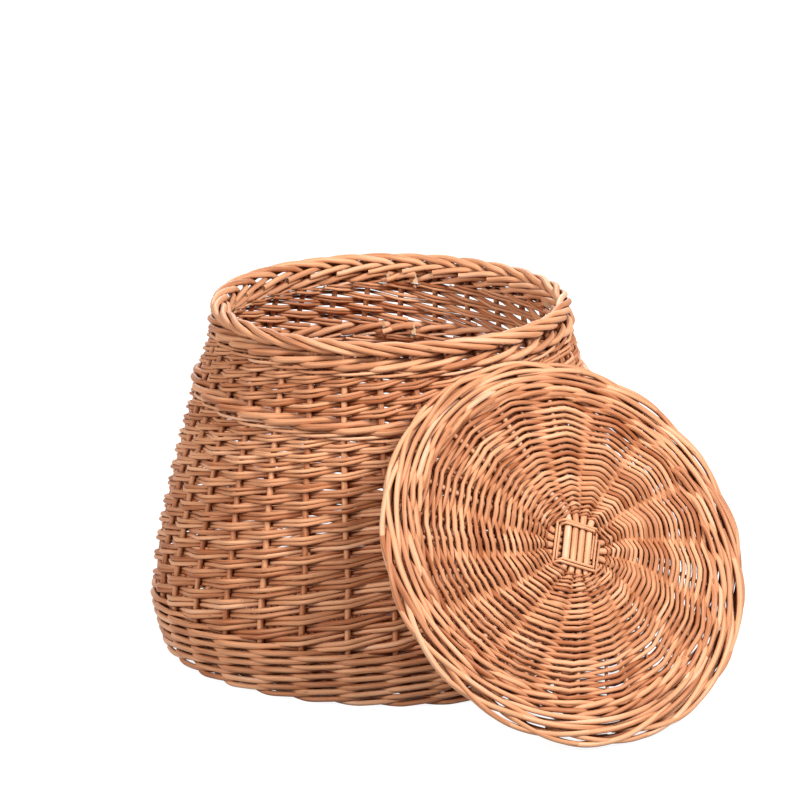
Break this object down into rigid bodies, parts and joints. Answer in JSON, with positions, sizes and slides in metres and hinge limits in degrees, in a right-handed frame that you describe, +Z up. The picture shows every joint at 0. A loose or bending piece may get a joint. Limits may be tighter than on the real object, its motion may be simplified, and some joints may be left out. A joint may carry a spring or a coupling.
{
  "type": "laundry hamper",
  "caption": "Round woven willow laundry hamper with a swelling body that narrows to an open mouth, and a loose flat woven lid that leans against its side.",
  "frame": {"origin": "on the floor, under the middle of the plan of the basket and the leaning lid together", "axes": "+Z up; +X to the right and +Y away from a viewer who stands in front of the leaning lid"},
  "size_m": [0.6076, 0.6514, 0.3677],
  "materials": {
    "stake_rods": "peeled steamed willow rod, satin",
    "stick_rods": "peeled steamed willow stick, satin",
    "weaver_rods": "peeled steamed willow weaver, satin",
    "wale_rods": "peeled steamed willow rod, satin",
    "border_rods": "peeled steamed willow rod, satin"
  },
  "bodies": {
    "basket": {"stake_01": "stake_rods", "stake_02": "stake_rods", "stake_03": "stake_rods", "stake_04": "stake_rods", "stake_05": "stake_rods", "stake_06": "stake_rods", "stake_07": "stake_rods", "stake_08": "stake_rods", "stake_09": "stake_rods", "stake_10": "stake_rods", "stake_11": "stake_rods", "stake_12": "stake_rods", "stake_13": "stake_rods", "stake_14": "stake_rods", "stake_15": "stake_rods", "stake_16": "stake_rods", "stake_17": "stake_rods", "stake_18": "stake_rods", "stake_19": "stake_rods", "stake_20": "stake_rods", "stake_21": "stake_rods", "stake_22": "stake_rods", "stake_23": "stake_rods", "stake_24": "stake_rods", "stake_25": "stake_rods", "stake_26": "stake_rods", "stake_27": "stake_rods", "stake_28": "stake_rods", "stake_29": "stake_rods", "stake_30": "stake_rods", "stake_31": "stake_rods", "stake_32": "stake_rods", "foot_wale": "wale_rods", "lower_rand": "weaver_rods", "middle_wale": "wale_rods", "upper_rand": "weaver_rods", "top_wale": "wale_rods", "border": "border_rods", "base_stick_01": "stick_rods", "base_stick_02": "stick_rods", "base_stick_03": "stick_rods", "base_stick_04": "stick_rods", "base_stick_05": "stick_rods", "base_stick_06": "stick_rods", "base_stick_07": "stick_rods", "base_stick_08": "stick_rods", "base_binding": "wale_rods", "base_weave": "weaver_rods"},
    "lid": {"lid_stick_01": "stick_rods", "lid_stick_02": "stick_rods", "lid_stick_03": "stick_rods", "lid_stick_04": "stick_rods", "lid_stick_05": "stick_rods", "lid_stick_06": "stick_rods", "lid_stick_07": "stick_rods", "lid_stick_08": "stick_rods", "lid_binding": "wale_rods", "lid_weave": "weaver_rods", "lid_border": "border_rods"}
  },
  "joints": [
    {"name": "lid_lift", "type": "slide", "parent": "basket", "child": "lid", "axis": [0, 0, 1], "range_m": [0, 0.4]}
  ]
}
